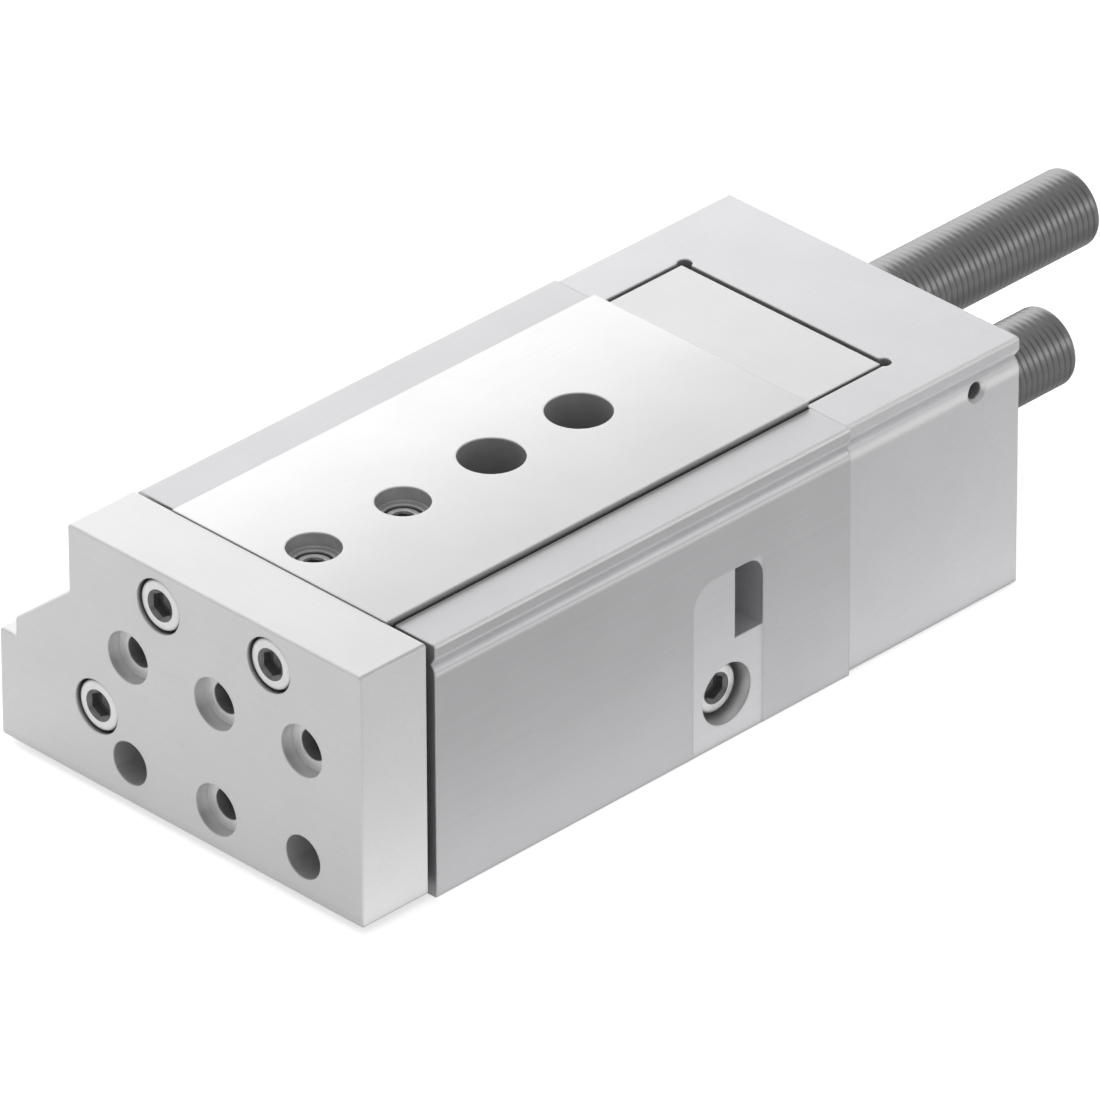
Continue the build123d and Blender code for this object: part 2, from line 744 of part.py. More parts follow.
# Piston with one groove for its seal and one for the ring magnet that sensors find
groove_floor = bore_radius - ring_groove_depth
with BuildPart() as piston:
    with BuildSketch(facing_front(piston_front)):
        with Locations(*rod_spot):
            Circle(bore_radius - running_gap)
            Circle(rod_radius - rod_neck + fit_gap, mode=Mode.SUBTRACT)
    extrude(amount=-piston_length)
    for groove_start in (seal_groove_start, magnet_groove_start):
        with BuildSketch(facing_front(piston_front + groove_start)):
            with Locations(*rod_spot):
                Circle(bore_radius)
                Circle(groove_floor, mode=Mode.SUBTRACT)
        extrude(amount=-ring_groove_length, mode=Mode.SUBTRACT)
save(piston, "piston")

ring_inner = groove_floor + fit_gap
seal_front = piston_front + seal_groove_start + jaw_gap
save(cylinder_ring(seal_front, ring_length, ring_inner, bore_radius - fit_gap), "piston_seal")
magnet_front = piston_front + magnet_groove_start + jaw_gap
magnet_outer = bore_radius - 2 * running_gap
save(cylinder_ring(magnet_front, ring_length, ring_inner, magnet_outer), "piston_magnet")

# End block behind the slide: its leg carries the moving absorber
with BuildPart() as end_block:
    with BuildSketch(facing_front(housing_rear)):
        add(span(end_block_left, end_block_right, slide_bottom, end_block_top))
    extrude(amount=-end_block_length)
    with BuildSketch(facing_front(leg_front)):
        add(rounded_block(-absorber_x, leg_half, absorber_z - leg_half, slide_bottom))
    extrude(amount=-leg_length)
    with BuildSketch(facing_front(leg_front)):
        with Locations((-absorber_x, absorber_z)):
            Circle(absorber_radius + thread_gap)
    extrude(amount=-leg_length, mode=Mode.SUBTRACT)
    with Locations(*on_plane(facing_rear(end_block_rear), seen_from_rear(yoke_screw_spots))):
        CounterBoreHole(m4_shank + screw_gap, sink_radius, m4_head_height + level_gap, end_block_length)
save(end_block, "end_block")

block_head_plane = facing_rear(end_block_rear - level_gap)
block_screw_length = end_block_length - level_gap - m4_head_height + m4_grip - thread_spare / 2
block_screw_spots = on_plane(block_head_plane, seen_from_rear(yoke_screw_spots))
save(cap_screws(block_screw_spots, M4, block_screw_length), "end_block_screws")

with BuildPart() as lock_nut:
    with BuildSketch(facing_front(leg_front - nut_length - fit_gap)):
        with Locations((-absorber_x, absorber_z)):
            Circle(leg_half)
            Circle(absorber_radius + thread_gap, mode=Mode.SUBTRACT)
            with PolarLocations(leg_half, 4, start_angle=45):
                Rectangle(2 * nut_slot_depth, nut_slot_width, mode=Mode.SUBTRACT)
    extrude(amount=-nut_length)
save(lock_nut, "absorber_lock_nut")

# Stop lug under the slide: pushes the fixed absorber's plunger home
lug_bottom = absorber_z - lug_half
with BuildPart() as stop_lug:
    with BuildSketch(facing_front(lug_rear - lug_length)):
        add(rounded_block(absorber_x, lug_half, lug_bottom, slide_bottom))
    extrude(amount=-lug_length)
    with Locations(*[(x, lug_y, lug_bottom) for x in lug_screw_x]):
        drill_up(m25_shank + screw_gap, slide_bottom - lug_bottom)
        drill_up(m25_head + running_gap, m25_head_height + lug_screw_recess)
save(stop_lug, "stop_lug")

lug_head_level = lug_bottom + lug_screw_recess
lug_screw_length = slide_bottom - lug_head_level - m25_head_height + m25_grip
lug_screw_spots = on_plane(facing_down(lug_head_level), [(x, -lug_y) for x in lug_screw_x])
save(cap_screws(lug_screw_spots, M25, lug_screw_length), "stop_lug_screws")
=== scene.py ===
"""Looks of the pneumatic slide table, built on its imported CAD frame.

Metres and the frame's own axes throughout: +X right, +Y to the rear, +Z up.
The CAD nodes keep their meshes and get procedural materials. The shock absorbers and the
screws that can be seen are rebuilt in finer detail, because threads stay out of the CAD model.
"""

import math

import bmesh
import bpy
from mathutils import Matrix, Vector


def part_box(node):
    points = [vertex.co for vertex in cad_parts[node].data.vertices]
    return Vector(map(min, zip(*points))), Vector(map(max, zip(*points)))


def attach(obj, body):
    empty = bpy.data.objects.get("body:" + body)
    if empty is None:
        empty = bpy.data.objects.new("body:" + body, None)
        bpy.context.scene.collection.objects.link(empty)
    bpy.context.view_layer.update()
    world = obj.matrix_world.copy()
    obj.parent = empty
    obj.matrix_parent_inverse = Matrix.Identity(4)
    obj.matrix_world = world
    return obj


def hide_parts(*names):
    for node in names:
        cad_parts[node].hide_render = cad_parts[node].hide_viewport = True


MM = 0.001

# Camera, solved from the photograph's vanishing points
CAMERA_PLACE = Vector((1.11835, -1.1042, 0.9802))
CAMERA_LOOK = Vector((-0.60503, 0.60276, -0.52021))
CAMERA_UP = Vector((-0.36592, 0.36977, 0.85403))
CAMERA_LENS = 495.26
SENSOR_WIDTH = 36.0

# Studio light: even light of the room, and what the floor adds where the camera or a
# reflection sees it, so that it looks white and brightens the sides towards their lower edge
ROOM_LIGHT = 0.42
FLOOR_LIFT = 0.6
FLOOR_GLOW_NEAR = 0.55
FLOOR_GLOW_FAR = 0.05
FLOOR_GLOW_FRONT = 0.21
GLOW_START = 0.026
GLOW_END = 0.066

# How far the painted shade of hollows and gaps reaches
HOLLOW_REACH = 2.5 * MM
DEEP_HOLLOW_REACH = 5.0 * MM

# Milled pad on the housing's right side
PAD_DEPTH = 0.2 * MM
PAD_TOLERANCE = 0.1 * MM
PAD_LEVEL = 0.74
STEP_SHARE = 1.1

# Insides of the window and of the clamp screw's sink, painted lighter as painted light, down to the wall's
# depth
WALL_DEPTH = 9.0 * MM
SINK_REACH = 4.4 * MM
WINDOW_REACH = 6.5 * MM
WINDOW_LIGHT_LEVEL = 0.85
WINDOW_FROM_REAR = 17.5 * MM
WINDOW_BELOW_TUBE = 0.8 * MM

# Painted highlight along the side groove: where it starts, is full, starts to fade and ends, below the top
HOUSING_LINE = (3.4 * MM, 3.65 * MM, 3.8 * MM, 4.7 * MM)
CAP_LINE = (3.5 * MM, 4.2 * MM, 4.4 * MM, 5.5 * MM)
# How far in from the side the groove is painted, and the lighter level of its downward flank, which is
# painted light
LINE_DEPTH = 1.5 * MM
LIT_FLANK_LEVEL = 0.8

# Painted highlight on the rim of the top edge: where it ends and is full, below the top
RIM_HIGHLIGHT = (0.5 * MM, 0.15 * MM)

# Yoke: depth below which its forward faces are spot-face floors, and the levels of the painted light on
# these floors and on its right side
SPOT_FACE = 1.0 * MM
SPOT_FLOOR_LIGHT = 1.6
YOKE_SIDE_LIGHT = 0.88

# Levels of the slide at its left and right, a painted reflection that lightens it towards its left, and the
# extrusions' bluish cast
SLIDE_LEFT = 0.82
SLIDE_RIGHT = 0.64
COOLNESS = -0.02

# Worn edges scatter the light more than the flats
WORN_METALLIC = 0.25

# Lathe-made pieces
SEGMENTS = 48
HEX_SIDES = 6
SOCKET_REACH = 4.0 * MM
SOCKET_CONE = 0.6
SOCKET_FLOOR = 0.7
SOCKET_TIP = 0.25
MOUTH_TOLERANCE = 1.01
WELD = 0.002 * MM
SOLID_WELD = 0.001 * MM
SHARP_ANGLE = 32

# Absorber thread and ends; the thread's form is (share of the pitch, share of the depth)
THREAD_PITCH = 1.0 * MM
THREAD_DEPTH = 0.075 * MM
THREAD_RUN_OUT = 1.2 * MM
THREAD_FORM = ((0.0, 0.0), (0.3, 0.0), (0.6, 1.0), (0.7, 1.0))
THREAD_CUT = (1, 2)
THREAD_SHADE = 0.65
ROUND_END = 0.8 * MM
ROUND_STEPS = 5
ADJUSTER_KEY = 4.0 * MM
ADJUSTER_DEPTH = 3.0 * MM
ADJUSTER_MOUTH = 2.4 * MM
PLUNGER_BORE = 1.6 * MM
PLUNGER_BORE_DEPTH = 12.0 * MM

# Cap screws are all M4
CAP_SOCKET_DEPTH = 1.6 * MM
HEAD_CHAMFER = 0.2 * MM
SHANK_RADIUS = 2.0 * MM
HEAD_HEIGHT = 4.0 * MM
CAP_SCREW_KEY = 3.0 * MM
CAP_SCREW_MOUTH = 2.15 * MM
CAP_SCREW_CHAMFER = 0.6 * MM
SET_SCREW_KEY = 2.5 * MM
SET_SCREW_MOUTH = 1.55 * MM
SET_SCREW_CHAMFER = 0.25 * MM
SET_SOCKET_SHARE = 0.5

# Points of all screws: their length, and their tip's share of the radius
POINT_LENGTH = 0.6 * MM
POINT_SHARE = 0.7

# Lamps: place, aim, size (the first one level) and power
LAMPS = {
    "left_strip": ((-0.26, 0.24, 0.15), (0, 0.24, 0.02), (0.75, 0.3), 0.87),
    "top_softbox": ((0.3, -0.3, 1.6), (0, 0, 0), (1.2, 1.2), 3),
    "edge_softbox": ((0.68, 0.54, 0.27), (0, 0, 0.03), (0.3, 0.2), 0.45),
    "front_strip": ((-0.36, -0.4, 0.2), (0, -0.04, 0.02), (0.5, 0.3), 0.15),
}

# Floor: half its width, and its colour
FLOOR_HALF = 3.0
FLOOR_COLOUR = (0.9, 0.9, 0.9, 1)

FRONT = Vector((0, -1, 0))
REAR = Vector((0, 1, 0))
RIGHT = Vector((1, 0, 0))
UP = Vector((0, 0, 1))


# Shader helpers


def new_material(name):
    material = bpy.data.materials.new(name)
    material.use_nodes = True
    tree = material.node_tree
    return material, tree, tree.nodes["Principled BSDF"]


def add(tree, kind, inputs=None, **settings):
    """A shader node with its settings, and its inputs set or linked."""
    node = tree.nodes.new("ShaderNode" + kind)
    for key, value in settings.items():
        setattr(node, key, value)
    for key, value in (inputs or {}).items():
        if isinstance(value, bpy.types.NodeSocket):
            tree.links.new(value, node.inputs[key])
        else:
            node.inputs[key].default_value = value
    return node


def noise(tree, place, size, detail=3.0, stretch=(1, 1, 1)):
    """Noise whose spots are about size metres across, drawn out along the axes with small stretch."""
    scaled = add(tree, "Mapping", {"Vector": place, "Scale": stretch}).outputs[0]
    inputs = {"Vector": scaled, "Scale": 1 / size, "Detail": detail, "Roughness": 0.6}
    return add(tree, "TexNoise", inputs).outputs[0]


def math_node(tree, operation, *values):
    return add(tree, "Math", dict(enumerate(values)), operation=operation).outputs[0]


def ramp(tree, value, low, high, out_low=0.0, out_high=1.0):
    """Value from low to high mapped to out_low to out_high, with soft ends."""
    inputs = {"Value": value, "From Min": low, "From Max": high, "To Min": out_low, "To Max": out_high}
    return add(tree, "MapRange", inputs, interpolation_type="SMOOTHSTEP").outputs[0]


def mixed(tree, share, first, second):
    return add(tree, "Mix", {0: share, 6: first, 7: second}, data_type="RGBA").outputs[2]


def grey(level, warmth=0.0):
    """Grey with a yellow cast, or a blue one where warmth is below 0."""
    return (level * (1 + max(warmth, 0.0)), level, min(1.0, level * (1 - warmth)), 1.0)


def edge_share(tree, soft_normal, low=0.9985, high=0.93):
    """1 on the model's edges and 0 on its flats, from how far the rounded normal turns."""
    normal = add(tree, "NewGeometry").outputs["Normal"]
    turn = add(tree, "VectorMath", {0: soft_normal, 1: normal}, operation="DOT_PRODUCT").outputs["Value"]
    return ramp(tree, turn, low, high)


# Materials


def machined_metal(
    name,
    level,
    roughness,
    metallic=0.75,
    stretch=(1, 0.02, 1),
    streak=0.10,
    streak_size=0.0006,
    grain=0.06,
    cloud=0.05,
    relief=0.004,
    wear=0.5,
    edge=0.00035,
    warmth=0.0,
    hollow_shade=0.35,
    reach=HOLLOW_REACH,
    paint=None,
):
    """Aluminium or steel: streaks of the cut, fine grain, faint clouds, worn edges that also carry a painted
    highlight, and painted shade in hollows and gaps.
    """
    material, tree, shader = new_material(name)
    place = add(tree, "TexCoord").outputs["Object"]
    streaks = noise(tree, place, streak_size, 4.0, stretch)
    grains = noise(tree, place, 0.00018, 2.0)
    clouds = noise(tree, place, 0.012, 3.0)

    light = math_node(tree, "MULTIPLY_ADD", streaks, 2 * streak, 1 - streak - grain - cloud)
    light = math_node(tree, "MULTIPLY_ADD", grains, 2 * grain, light)
    light = math_node(tree, "MULTIPLY_ADD", clouds, 2 * cloud, light)
    # Painted shade: ambient occlusion darkens the colour in hollows and gaps.
    openness = add(tree, "AmbientOcclusion", {"Distance": reach}, samples=4).outputs["AO"]
    light = math_node(tree, "MULTIPLY", light, ramp(tree, openness, 0.1, 0.7, hollow_shade, 1.0))
    base = grey(level, warmth)
    base = paint(tree, place, base) if paint else base[:3]
    scaled = add(tree, "VectorMath", {"Vector": base, "Scale": light}, operation="SCALE").outputs[0]
    capped = add(tree, "VectorMath", {0: scaled, 1: (1, 1, 1)}, operation="MINIMUM").outputs[0]

    # Lighter edges: partly wear, partly a painted highlight along every edge.
    soft = add(tree, "Bevel", {"Radius": edge}, samples=4).outputs[0]
    patchy = ramp(tree, clouds, 0.3, 0.6, 0.4 * wear, wear)
    worn_highlight = math_node(tree, "MULTIPLY", edge_share(tree, soft), patchy)
    colour = mixed(tree, worn_highlight, capped, grey(min(1.0, level * 1.25 + 0.1)))
    tree.links.new(colour, shader.inputs["Base Color"])

    rough = math_node(tree, "MULTIPLY_ADD", streaks, 0.16, roughness - 0.08)
    rough = math_node(tree, "MULTIPLY_ADD", grains, 0.08, math_node(tree, "SUBTRACT", rough, 0.04))
    tree.links.new(rough, shader.inputs["Roughness"])
    dulled = add(tree, "MapRange", {"Value": worn_highlight, "To Min": metallic, "To Max": WORN_METALLIC})
    tree.links.new(dulled.outputs[0], shader.inputs["Metallic"])

    height = math_node(tree, "MULTIPLY_ADD", grains, 0.5, streaks)
    bump = add(tree, "Bump", {"Strength": 0.35, "Distance": relief * MM, "Height": height, "Normal": soft})
    tree.links.new(bump.outputs[0], shader.inputs["Normal"])
    return material


def facing_share(tree, axis, low, high):
    """0 to 1 as the surface turns from low to high along an axis."""
    normal = add(tree, "NewGeometry").outputs["Normal"]
    return ramp(tree, add(tree, "SeparateXYZ", {0: normal}).outputs[axis], low, high)


def groove_highlight_paint(node, heights):
    """Painted highlight along a line below the side groove of a node and on the rim of its top edge, and
    painted light on the groove's downward flank.
    """

    def paint(tree, place, base):
        start, full, fade, end = (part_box("housing")[1].z - height for height in heights)
        spot = add(tree, "SeparateXYZ", {0: place}).outputs
        above = ramp(tree, spot["Z"], start, full)
        line = math_node(tree, "MULTIPLY", above, ramp(tree, spot["Z"], end, fade))
        beside = math_node(tree, "GREATER_THAN", spot["X"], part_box(node)[1].x - LINE_DEPTH)
        outward = math_node(tree, "MULTIPLY", beside, facing_share(tree, "X", 0.1, 0.3))
        # Painted light: the groove's downward flank gets a lighter level.
        lit_flank = math_node(tree, "MULTIPLY", beside, facing_share(tree, "Z", -0.2, -0.5))
        base = mixed(tree, lit_flank, base, grey(LIT_FLANK_LEVEL, COOLNESS))
        rim_end, rim_full = (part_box("housing")[1].z - height for height in RIM_HIGHLIGHT)
        # Painted highlight of the groove line and of the top rim, on faces that look outward.
        bright = math_node(tree, "MAXIMUM", line, ramp(tree, spot["Z"], rim_end, rim_full))
        return mixed(tree, math_node(tree, "MULTIPLY", bright, outward), base, grey(1.0, COOLNESS))

    return paint


def near_axis(tree, spot, centre, radius):
    """1 within a radius of an axis along X, and 0 beyond it."""
    flat = add(tree, "CombineXYZ", {"Y": spot["Y"], "Z": spot["Z"]}).outputs[0]
    middle = (0, centre[0], centre[1])
    away = add(tree, "VectorMath", {0: flat, 1: middle}, operation="DISTANCE").outputs["Value"]
    return math_node(tree, "LESS_THAN", away, radius)


def pad_and_painted_light(tree, place, base):
    """Painted highlight of the groove line, painted light inside the window, in the clamp screw's sink and
    on the step at the pad's edge, and a lighter colour on the milled pad.
    """
    spot = add(tree, "SeparateXYZ", {0: place}).outputs
    across = spot["X"]
    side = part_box("housing")[1].x
    sunk = math_node(tree, "COMPARE", across, side - PAD_DEPTH, PAD_TOLERANCE)
    milled = math_node(tree, "MULTIPLY", sunk, facing_share(tree, "X", 0.8, 0.9))
    # Painted light: the small front-facing step at the pad's edge is painted white where it would lie in
    # shade.
    step = math_node(tree, "GREATER_THAN", across, side - STEP_SHARE * PAD_DEPTH)
    step = math_node(tree, "MULTIPLY", step, facing_share(tree, "Y", -0.5, -0.9))
    base = groove_highlight_paint("housing", HOUSING_LINE)(tree, place, base)
    # Painted light: lighter colour inside the window and in the clamp screw's sink.
    inner = math_node(tree, "LESS_THAN", across, side - 2 * PAD_DEPTH)
    inner = math_node(tree, "MULTIPLY", inner, math_node(tree, "GREATER_THAN", across, side - WALL_DEPTH))
    screw = (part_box("clamp_screw")[0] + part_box("clamp_screw")[1]) / 2
    tube = (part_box("fixed_absorber")[0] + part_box("fixed_absorber")[1]) / 2
    window = (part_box("housing")[1].y - WINDOW_FROM_REAR, tube.z - WINDOW_BELOW_TUBE)
    lit_hollows = ((window, WINDOW_REACH, WINDOW_LIGHT_LEVEL), ((screw.y, screw.z), SINK_REACH, 1.0))
    for centre, radius, level in lit_hollows:
        share = math_node(tree, "MULTIPLY", inner, near_axis(tree, spot, centre, radius))
        base = mixed(tree, share, base, grey(level, COOLNESS))
    base = mixed(tree, milled, base, grey(PAD_LEVEL, COOLNESS))
    return mixed(tree, step, base, grey(1.0, COOLNESS))


def lit_floors_paint(tree, place, base):
    """Painted light on the floors of the spot faces, which look forward below the yoke's face, and on the
    yoke's right side.
    """
    along = add(tree, "SeparateXYZ", {0: place}).outputs["Y"]
    below = math_node(tree, "GREATER_THAN", along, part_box("yoke_plate")[0].y + SPOT_FACE)
    floor = math_node(tree, "MULTIPLY", below, facing_share(tree, "Y", -0.8, -0.9))
    # Painted light: the right side and the spot-face floors are made lighter.
    base = mixed(tree, facing_share(tree, "X", 0.8, 0.95), base, grey(YOKE_SIDE_LIGHT))
    return mixed(tree, floor, base, (SPOT_FLOOR_LIGHT, SPOT_FLOOR_LIGHT, SPOT_FLOOR_LIGHT, 1.0))


def slide_reflection_paint(tree, place, base):
    """Painted reflection: the slide is lighter towards its left."""
    across = add(tree, "SeparateXYZ", {0: place}).outputs["X"]
    low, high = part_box("slide")
    return mixed(tree, ramp(tree, across, low.x, high.x), grey(SLIDE_LEFT), grey(SLIDE_RIGHT))


def housing_metal():
    return machined_metal(
        "housing_aluminium",
        0.62,
        0.42,
        stretch=(1, 0.015, 1),
        streak=0.06,
        warmth=COOLNESS,
        hollow_shade=0.9,
        paint=pad_and_painted_light,
    )


def cap_metal():
    return machined_metal(
        "cap_aluminium",
        0.72,
        0.48,
        stretch=(1, 0.3, 1),
        streak=0.05,
        grain=0.08,
        warmth=COOLNESS,
        hollow_shade=0.6,
        paint=groove_highlight_paint("rear_cap", CAP_LINE),
    )


def yoke_metal():
    return machined_metal(
        "yoke_aluminium",
        0.77,
        0.45,
        stretch=(0.05, 1, 1),
        streak=0.05,
        grain=0.06,
        hollow_shade=0.45,
        reach=DEEP_HOLLOW_REACH,
        paint=lit_floors_paint,
    )


def slide_steel():
    return machined_metal(
        "ground_steel",
        0.73,
        0.42,
        metallic=0.85,
        stretch=(1, 0.01, 1),
        streak=0.06,
        streak_size=0.0003,
        grain=0.03,
        hollow_shade=0.25,
        reach=DEEP_HOLLOW_REACH,
        paint=slide_reflection_paint,
    )


def block_metal():
    return machined_metal("block_aluminium", 0.78, 0.5, stretch=(0.05, 1, 1), streak=0.05, grain=0.07)


def screw_steel():
    return machined_metal(
        "screw_steel", 0.92, 0.38, metallic=0.7, stretch=(1, 1, 1), streak=0.06, wear=0.6, hollow_shade=0.05
    )


def socket_shade_steel():
    """Painted shade: steel painted dark down in the sockets."""
    return machined_metal(
        "socket_shade_steel",
        0.2,
        0.45,
        metallic=0.6,
        stretch=(1, 1, 1),
        streak=0.35,
        edge=0.0001,
        hollow_shade=1.0,
    )


def shaded_underside(tree, place, base):
    """Painted shade: darker towards the underside."""
    return mixed(tree, facing_share(tree, "Z", 0.7, -0.3), base, grey(0.4 * base[1]))


def shaded_roots(tree, place, base):
    """Painted shade that darkens the thread's roots, except where the faces look up along the top."""
    base = shaded_underside(tree, place, base)
    shaded = add(tree, "VectorMath", {"Vector": base, "Scale": THREAD_SHADE}, operation="SCALE").outputs[0]
    return mixed(tree, facing_share(tree, "Z", 0.75, 0.95), shaded, base)


def absorber_steel(name="absorber_steel", paint=shaded_underside):
    return machined_metal(
        name,
        0.30,
        0.38,
        metallic=1.0,
        stretch=(1, 1, 1),
        streak=0.12,
        cloud=0.08,
        wear=0.3,
        edge=0.0001,
        hollow_shade=0.8,
        paint=paint,
    )


def inner_steel():
    return machined_metal("inner_steel", 0.55, 0.25, metallic=1.0, stretch=(1, 0.02, 1))


def ball_steel():
    return machined_metal("ball_steel", 0.7, 0.12, metallic=1.0, stretch=(1, 1, 1), streak=0.02, grain=0.02)


def brass():
    return machined_metal("bearing_bronze", 0.42, 0.35, metallic=1.0, stretch=(1, 1, 1), warmth=0.35)


def moulded_plastic():
    """Dark moulded plastic of the ball cages: fine spark texture, faint clouds of tint and varying
    roughness.
    """
    material, tree, shader = new_material("cage_plastic")
    place = add(tree, "TexCoord").outputs["Object"]
    texture = noise(tree, place, 0.0004, 4.0)
    clouds = noise(tree, place, 0.006)
    tint = mixed(tree, clouds, (0.03, 0.032, 0.036, 1), (0.055, 0.056, 0.06, 1))
    tree.links.new(tint, shader.inputs["Base Color"])
    tree.links.new(ramp(tree, texture, 0.3, 0.7, 0.38, 0.6), shader.inputs["Roughness"])
    bump = add(tree, "Bump", {"Strength": 0.4, "Distance": 0.01 * MM, "Height": texture})
    tree.links.new(bump.outputs[0], shader.inputs["Normal"])
    return material


def rubber():
    """Black seal rubber: dull, faintly dusty."""
    material, tree, shader = new_material("seal_rubber")
    place = add(tree, "TexCoord").outputs["Object"]
    dust = noise(tree, place, 0.0008, 5.0)
    tint = mixed(tree, dust, (0.012, 0.012, 0.013, 1), (0.04, 0.04, 0.042, 1))
    tree.links.new(tint, shader.inputs["Base Color"])
    tree.links.new(ramp(tree, dust, 0.3, 0.7, 0.55, 0.8), shader.inputs["Roughness"])
    bump = add(tree, "Bump", {"Strength": 0.3, "Distance": 0.01 * MM, "Height": dust})
    tree.links.new(bump.outputs[0], shader.inputs["Normal"])
    return material


# Lathe-made meshes: a local +Z axis, with the outer end at height 0


def ring_points(radius, height, sides=0):
    """One ring of points, round or with flats, at a height."""
    points = []
    for k in range(SEGMENTS):
        angle = 2 * math.pi * k / SEGMENTS
        reach = radius
        if sides:
            flat = math.pi / sides
            reach = radius / math.cos((angle + flat) % (2 * flat) - flat)
        points.append(Vector((reach * math.cos(angle), reach * math.sin(angle), height)))
    return points


def lathe(mesh, rings, start=None, end=None):
    """Joins rings of points into a skin, closed at either end by a point where one is given."""
    rows = [[mesh.verts.new(point) for point in ring] for ring in rings]
    for above, below in zip(rows, rows[1:]):
        for k in range(SEGMENTS):
            mesh.faces.new((above[k - 1], below[k - 1], below[k], above[k]))
    for point, row, turn in ((start, rows[0], 1), (end, rows[-1], -1)):
        if point is not None:
            tip = mesh.verts.new(point)
            for k in range(SEGMENTS):
                mesh.faces.new((tip, row[k - 1], row[k])[::turn])


def socket_rings(key, depth, mouth_radius):
    """Hexagon socket from its floor up to a coned round mouth."""
    cone = SOCKET_CONE * (mouth_radius - key / 2)
    return [
        ring_points(SOCKET_FLOOR * key / 2, -depth, HEX_SIDES),
        ring_points(key / 2, -depth, HEX_SIDES),
        ring_points(key / 2, -cone, HEX_SIDES),
        ring_points(mouth_radius, 0),
    ]


def round_over(radius, top, size, inward):
    """Rings of a quarter round between an end face at top and the side of a rod."""
    rings = []
    for step in range(ROUND_STEPS + 1):
        angle = math.pi / 2 * step / ROUND_STEPS
        out = radius - size * (1 - math.sin(angle))
        rings.append(ring_points(out, top - inward * size * (1 - math.cos(angle))))
    return rings


def place_piece(name, mesh, place, facing, materials, body, mouth=0):
    """Turns a finished bmesh into an object whose local +Z looks along facing, riding on a body.

    Faces that end inside the mouth's radius, below the outer end, take the second material, painted dark as
    socket shade.
    """
    for face in mesh.faces:
        inside = all(corner.co.xy.length < MOUTH_TOLERANCE * mouth for corner in face.verts)
        near = all(corner.co.z > -SOCKET_REACH for corner in face.verts)
        if inside and near:
            face.material_index = 1
    bmesh.ops.remove_doubles(mesh, verts=mesh.verts, dist=WELD)
    bmesh.ops.recalc_face_normals(mesh, faces=mesh.faces)
    data = bpy.data.meshes.new(name)
    mesh.to_mesh(data)
    mesh.free()
    data.transform(Matrix.Translation(place) @ facing.to_track_quat("Z", "Y").to_matrix().to_4x4())
    data.polygons.foreach_set("use_smooth", [True] * len(data.polygons))
    data.set_sharp_from_angle(angle=math.radians(SHARP_ANGLE))
    for material in materials:
        data.materials.append(material)
    piece = bpy.data.objects.new(name, data)
    bpy.context.scene.collection.objects.link(piece)
    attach(piece, body)
    return piece


def solid_boxes(node):
    """(lowest, highest) corner of each separate solid of a CAD node, read from a copy of its mesh."""
    mesh = bmesh.new()
    mesh.from_mesh(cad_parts[node].data)
    bmesh.ops.remove_doubles(mesh, verts=mesh.verts, dist=SOLID_WELD)
    boxes = []
    left = set(mesh.verts)
    while left:
        group = [left.pop()]
        for vertex in group:
            for edge in vertex.link_edges:
                other = edge.other_vert(vertex)
                if other in left:
                    left.discard(other)
                    group.append(other)
        low = Vector([min(v.co[axis] for v in group) for axis in range(3)])
        high = Vector([max(v.co[axis] for v in group) for axis in range(3)])
        boxes.append((low, high))
    mesh.free()
    return sorted(boxes, key=lambda box: tuple(box[0]))


def outer_end(low, high, facing):
    """Middle of the box's face that looks along facing, its length along that way and its radius."""
    middle = (low + high) / 2
    half = (high - low) / 2
    reach = abs(half.dot(facing))
    across = [half[axis] for axis in range(3) if abs(facing[axis]) < 0.5]
    return middle + facing * reach, 2 * reach, min(across)


def make_cap_screws(node, facing, materials, body):
    """Socket head cap screws in place of a CAD node: chamfered, with a real socket and screw point."""
    for number, (low, high) in enumerate(solid_boxes(node)):
        place, length, head = outer_end(low, high, facing)
        mesh = bmesh.new()
        socket = socket_rings(CAP_SCREW_KEY, CAP_SOCKET_DEPTH, CAP_SCREW_MOUTH)
        side = round_over(head, 0, CAP_SCREW_CHAMFER, 1)
        tail = [
            ring_points(head, -HEAD_HEIGHT + HEAD_CHAMFER),
            ring_points(head - HEAD_CHAMFER, -HEAD_HEIGHT),
            ring_points(SHANK_RADIUS, -HEAD_HEIGHT),
            ring_points(SHANK_RADIUS, -length + POINT_LENGTH),
            ring_points(POINT_SHARE * SHANK_RADIUS, -length),
        ]
        floor = Vector((0, 0, -CAP_SOCKET_DEPTH - SOCKET_TIP * CAP_SCREW_KEY))
        lathe(mesh, socket + side + tail, floor, Vector((0, 0, -length)))
        name = "%s_fine_%d" % (node, number)
        piece = place_piece(name, mesh, place, facing, materials, body, CAP_SCREW_MOUTH)
        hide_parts(node)


def make_set_screws(node, facing, materials, body):
    """Headless screws: a socket, a chamfered mouth and a coned point."""
    for number, (low, high) in enumerate(solid_boxes(node)):
        place, length, radius = outer_end(low, high, facing)
        mesh = bmesh.new()
        rings = socket_rings(SET_SCREW_KEY, SET_SOCKET_SHARE * length, SET_SCREW_MOUTH)
        rings += [
            ring_points(radius - SET_SCREW_CHAMFER, 0),
            ring_points(radius, -SET_SCREW_CHAMFER),
            ring_points(radius, -length + POINT_LENGTH),
            ring_points(POINT_SHARE * radius, -length),
        ]
        floor = Vector((0, 0, -SET_SOCKET_SHARE * length - SOCKET_TIP * SET_SCREW_KEY))
        lathe(mesh, rings, floor, Vector((0, 0, -length)))
        name = "%s_fine_%d" % (node, number)
        piece = place_piece(name, mesh, place, facing, materials, body, SET_SCREW_MOUTH)
        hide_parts(node)


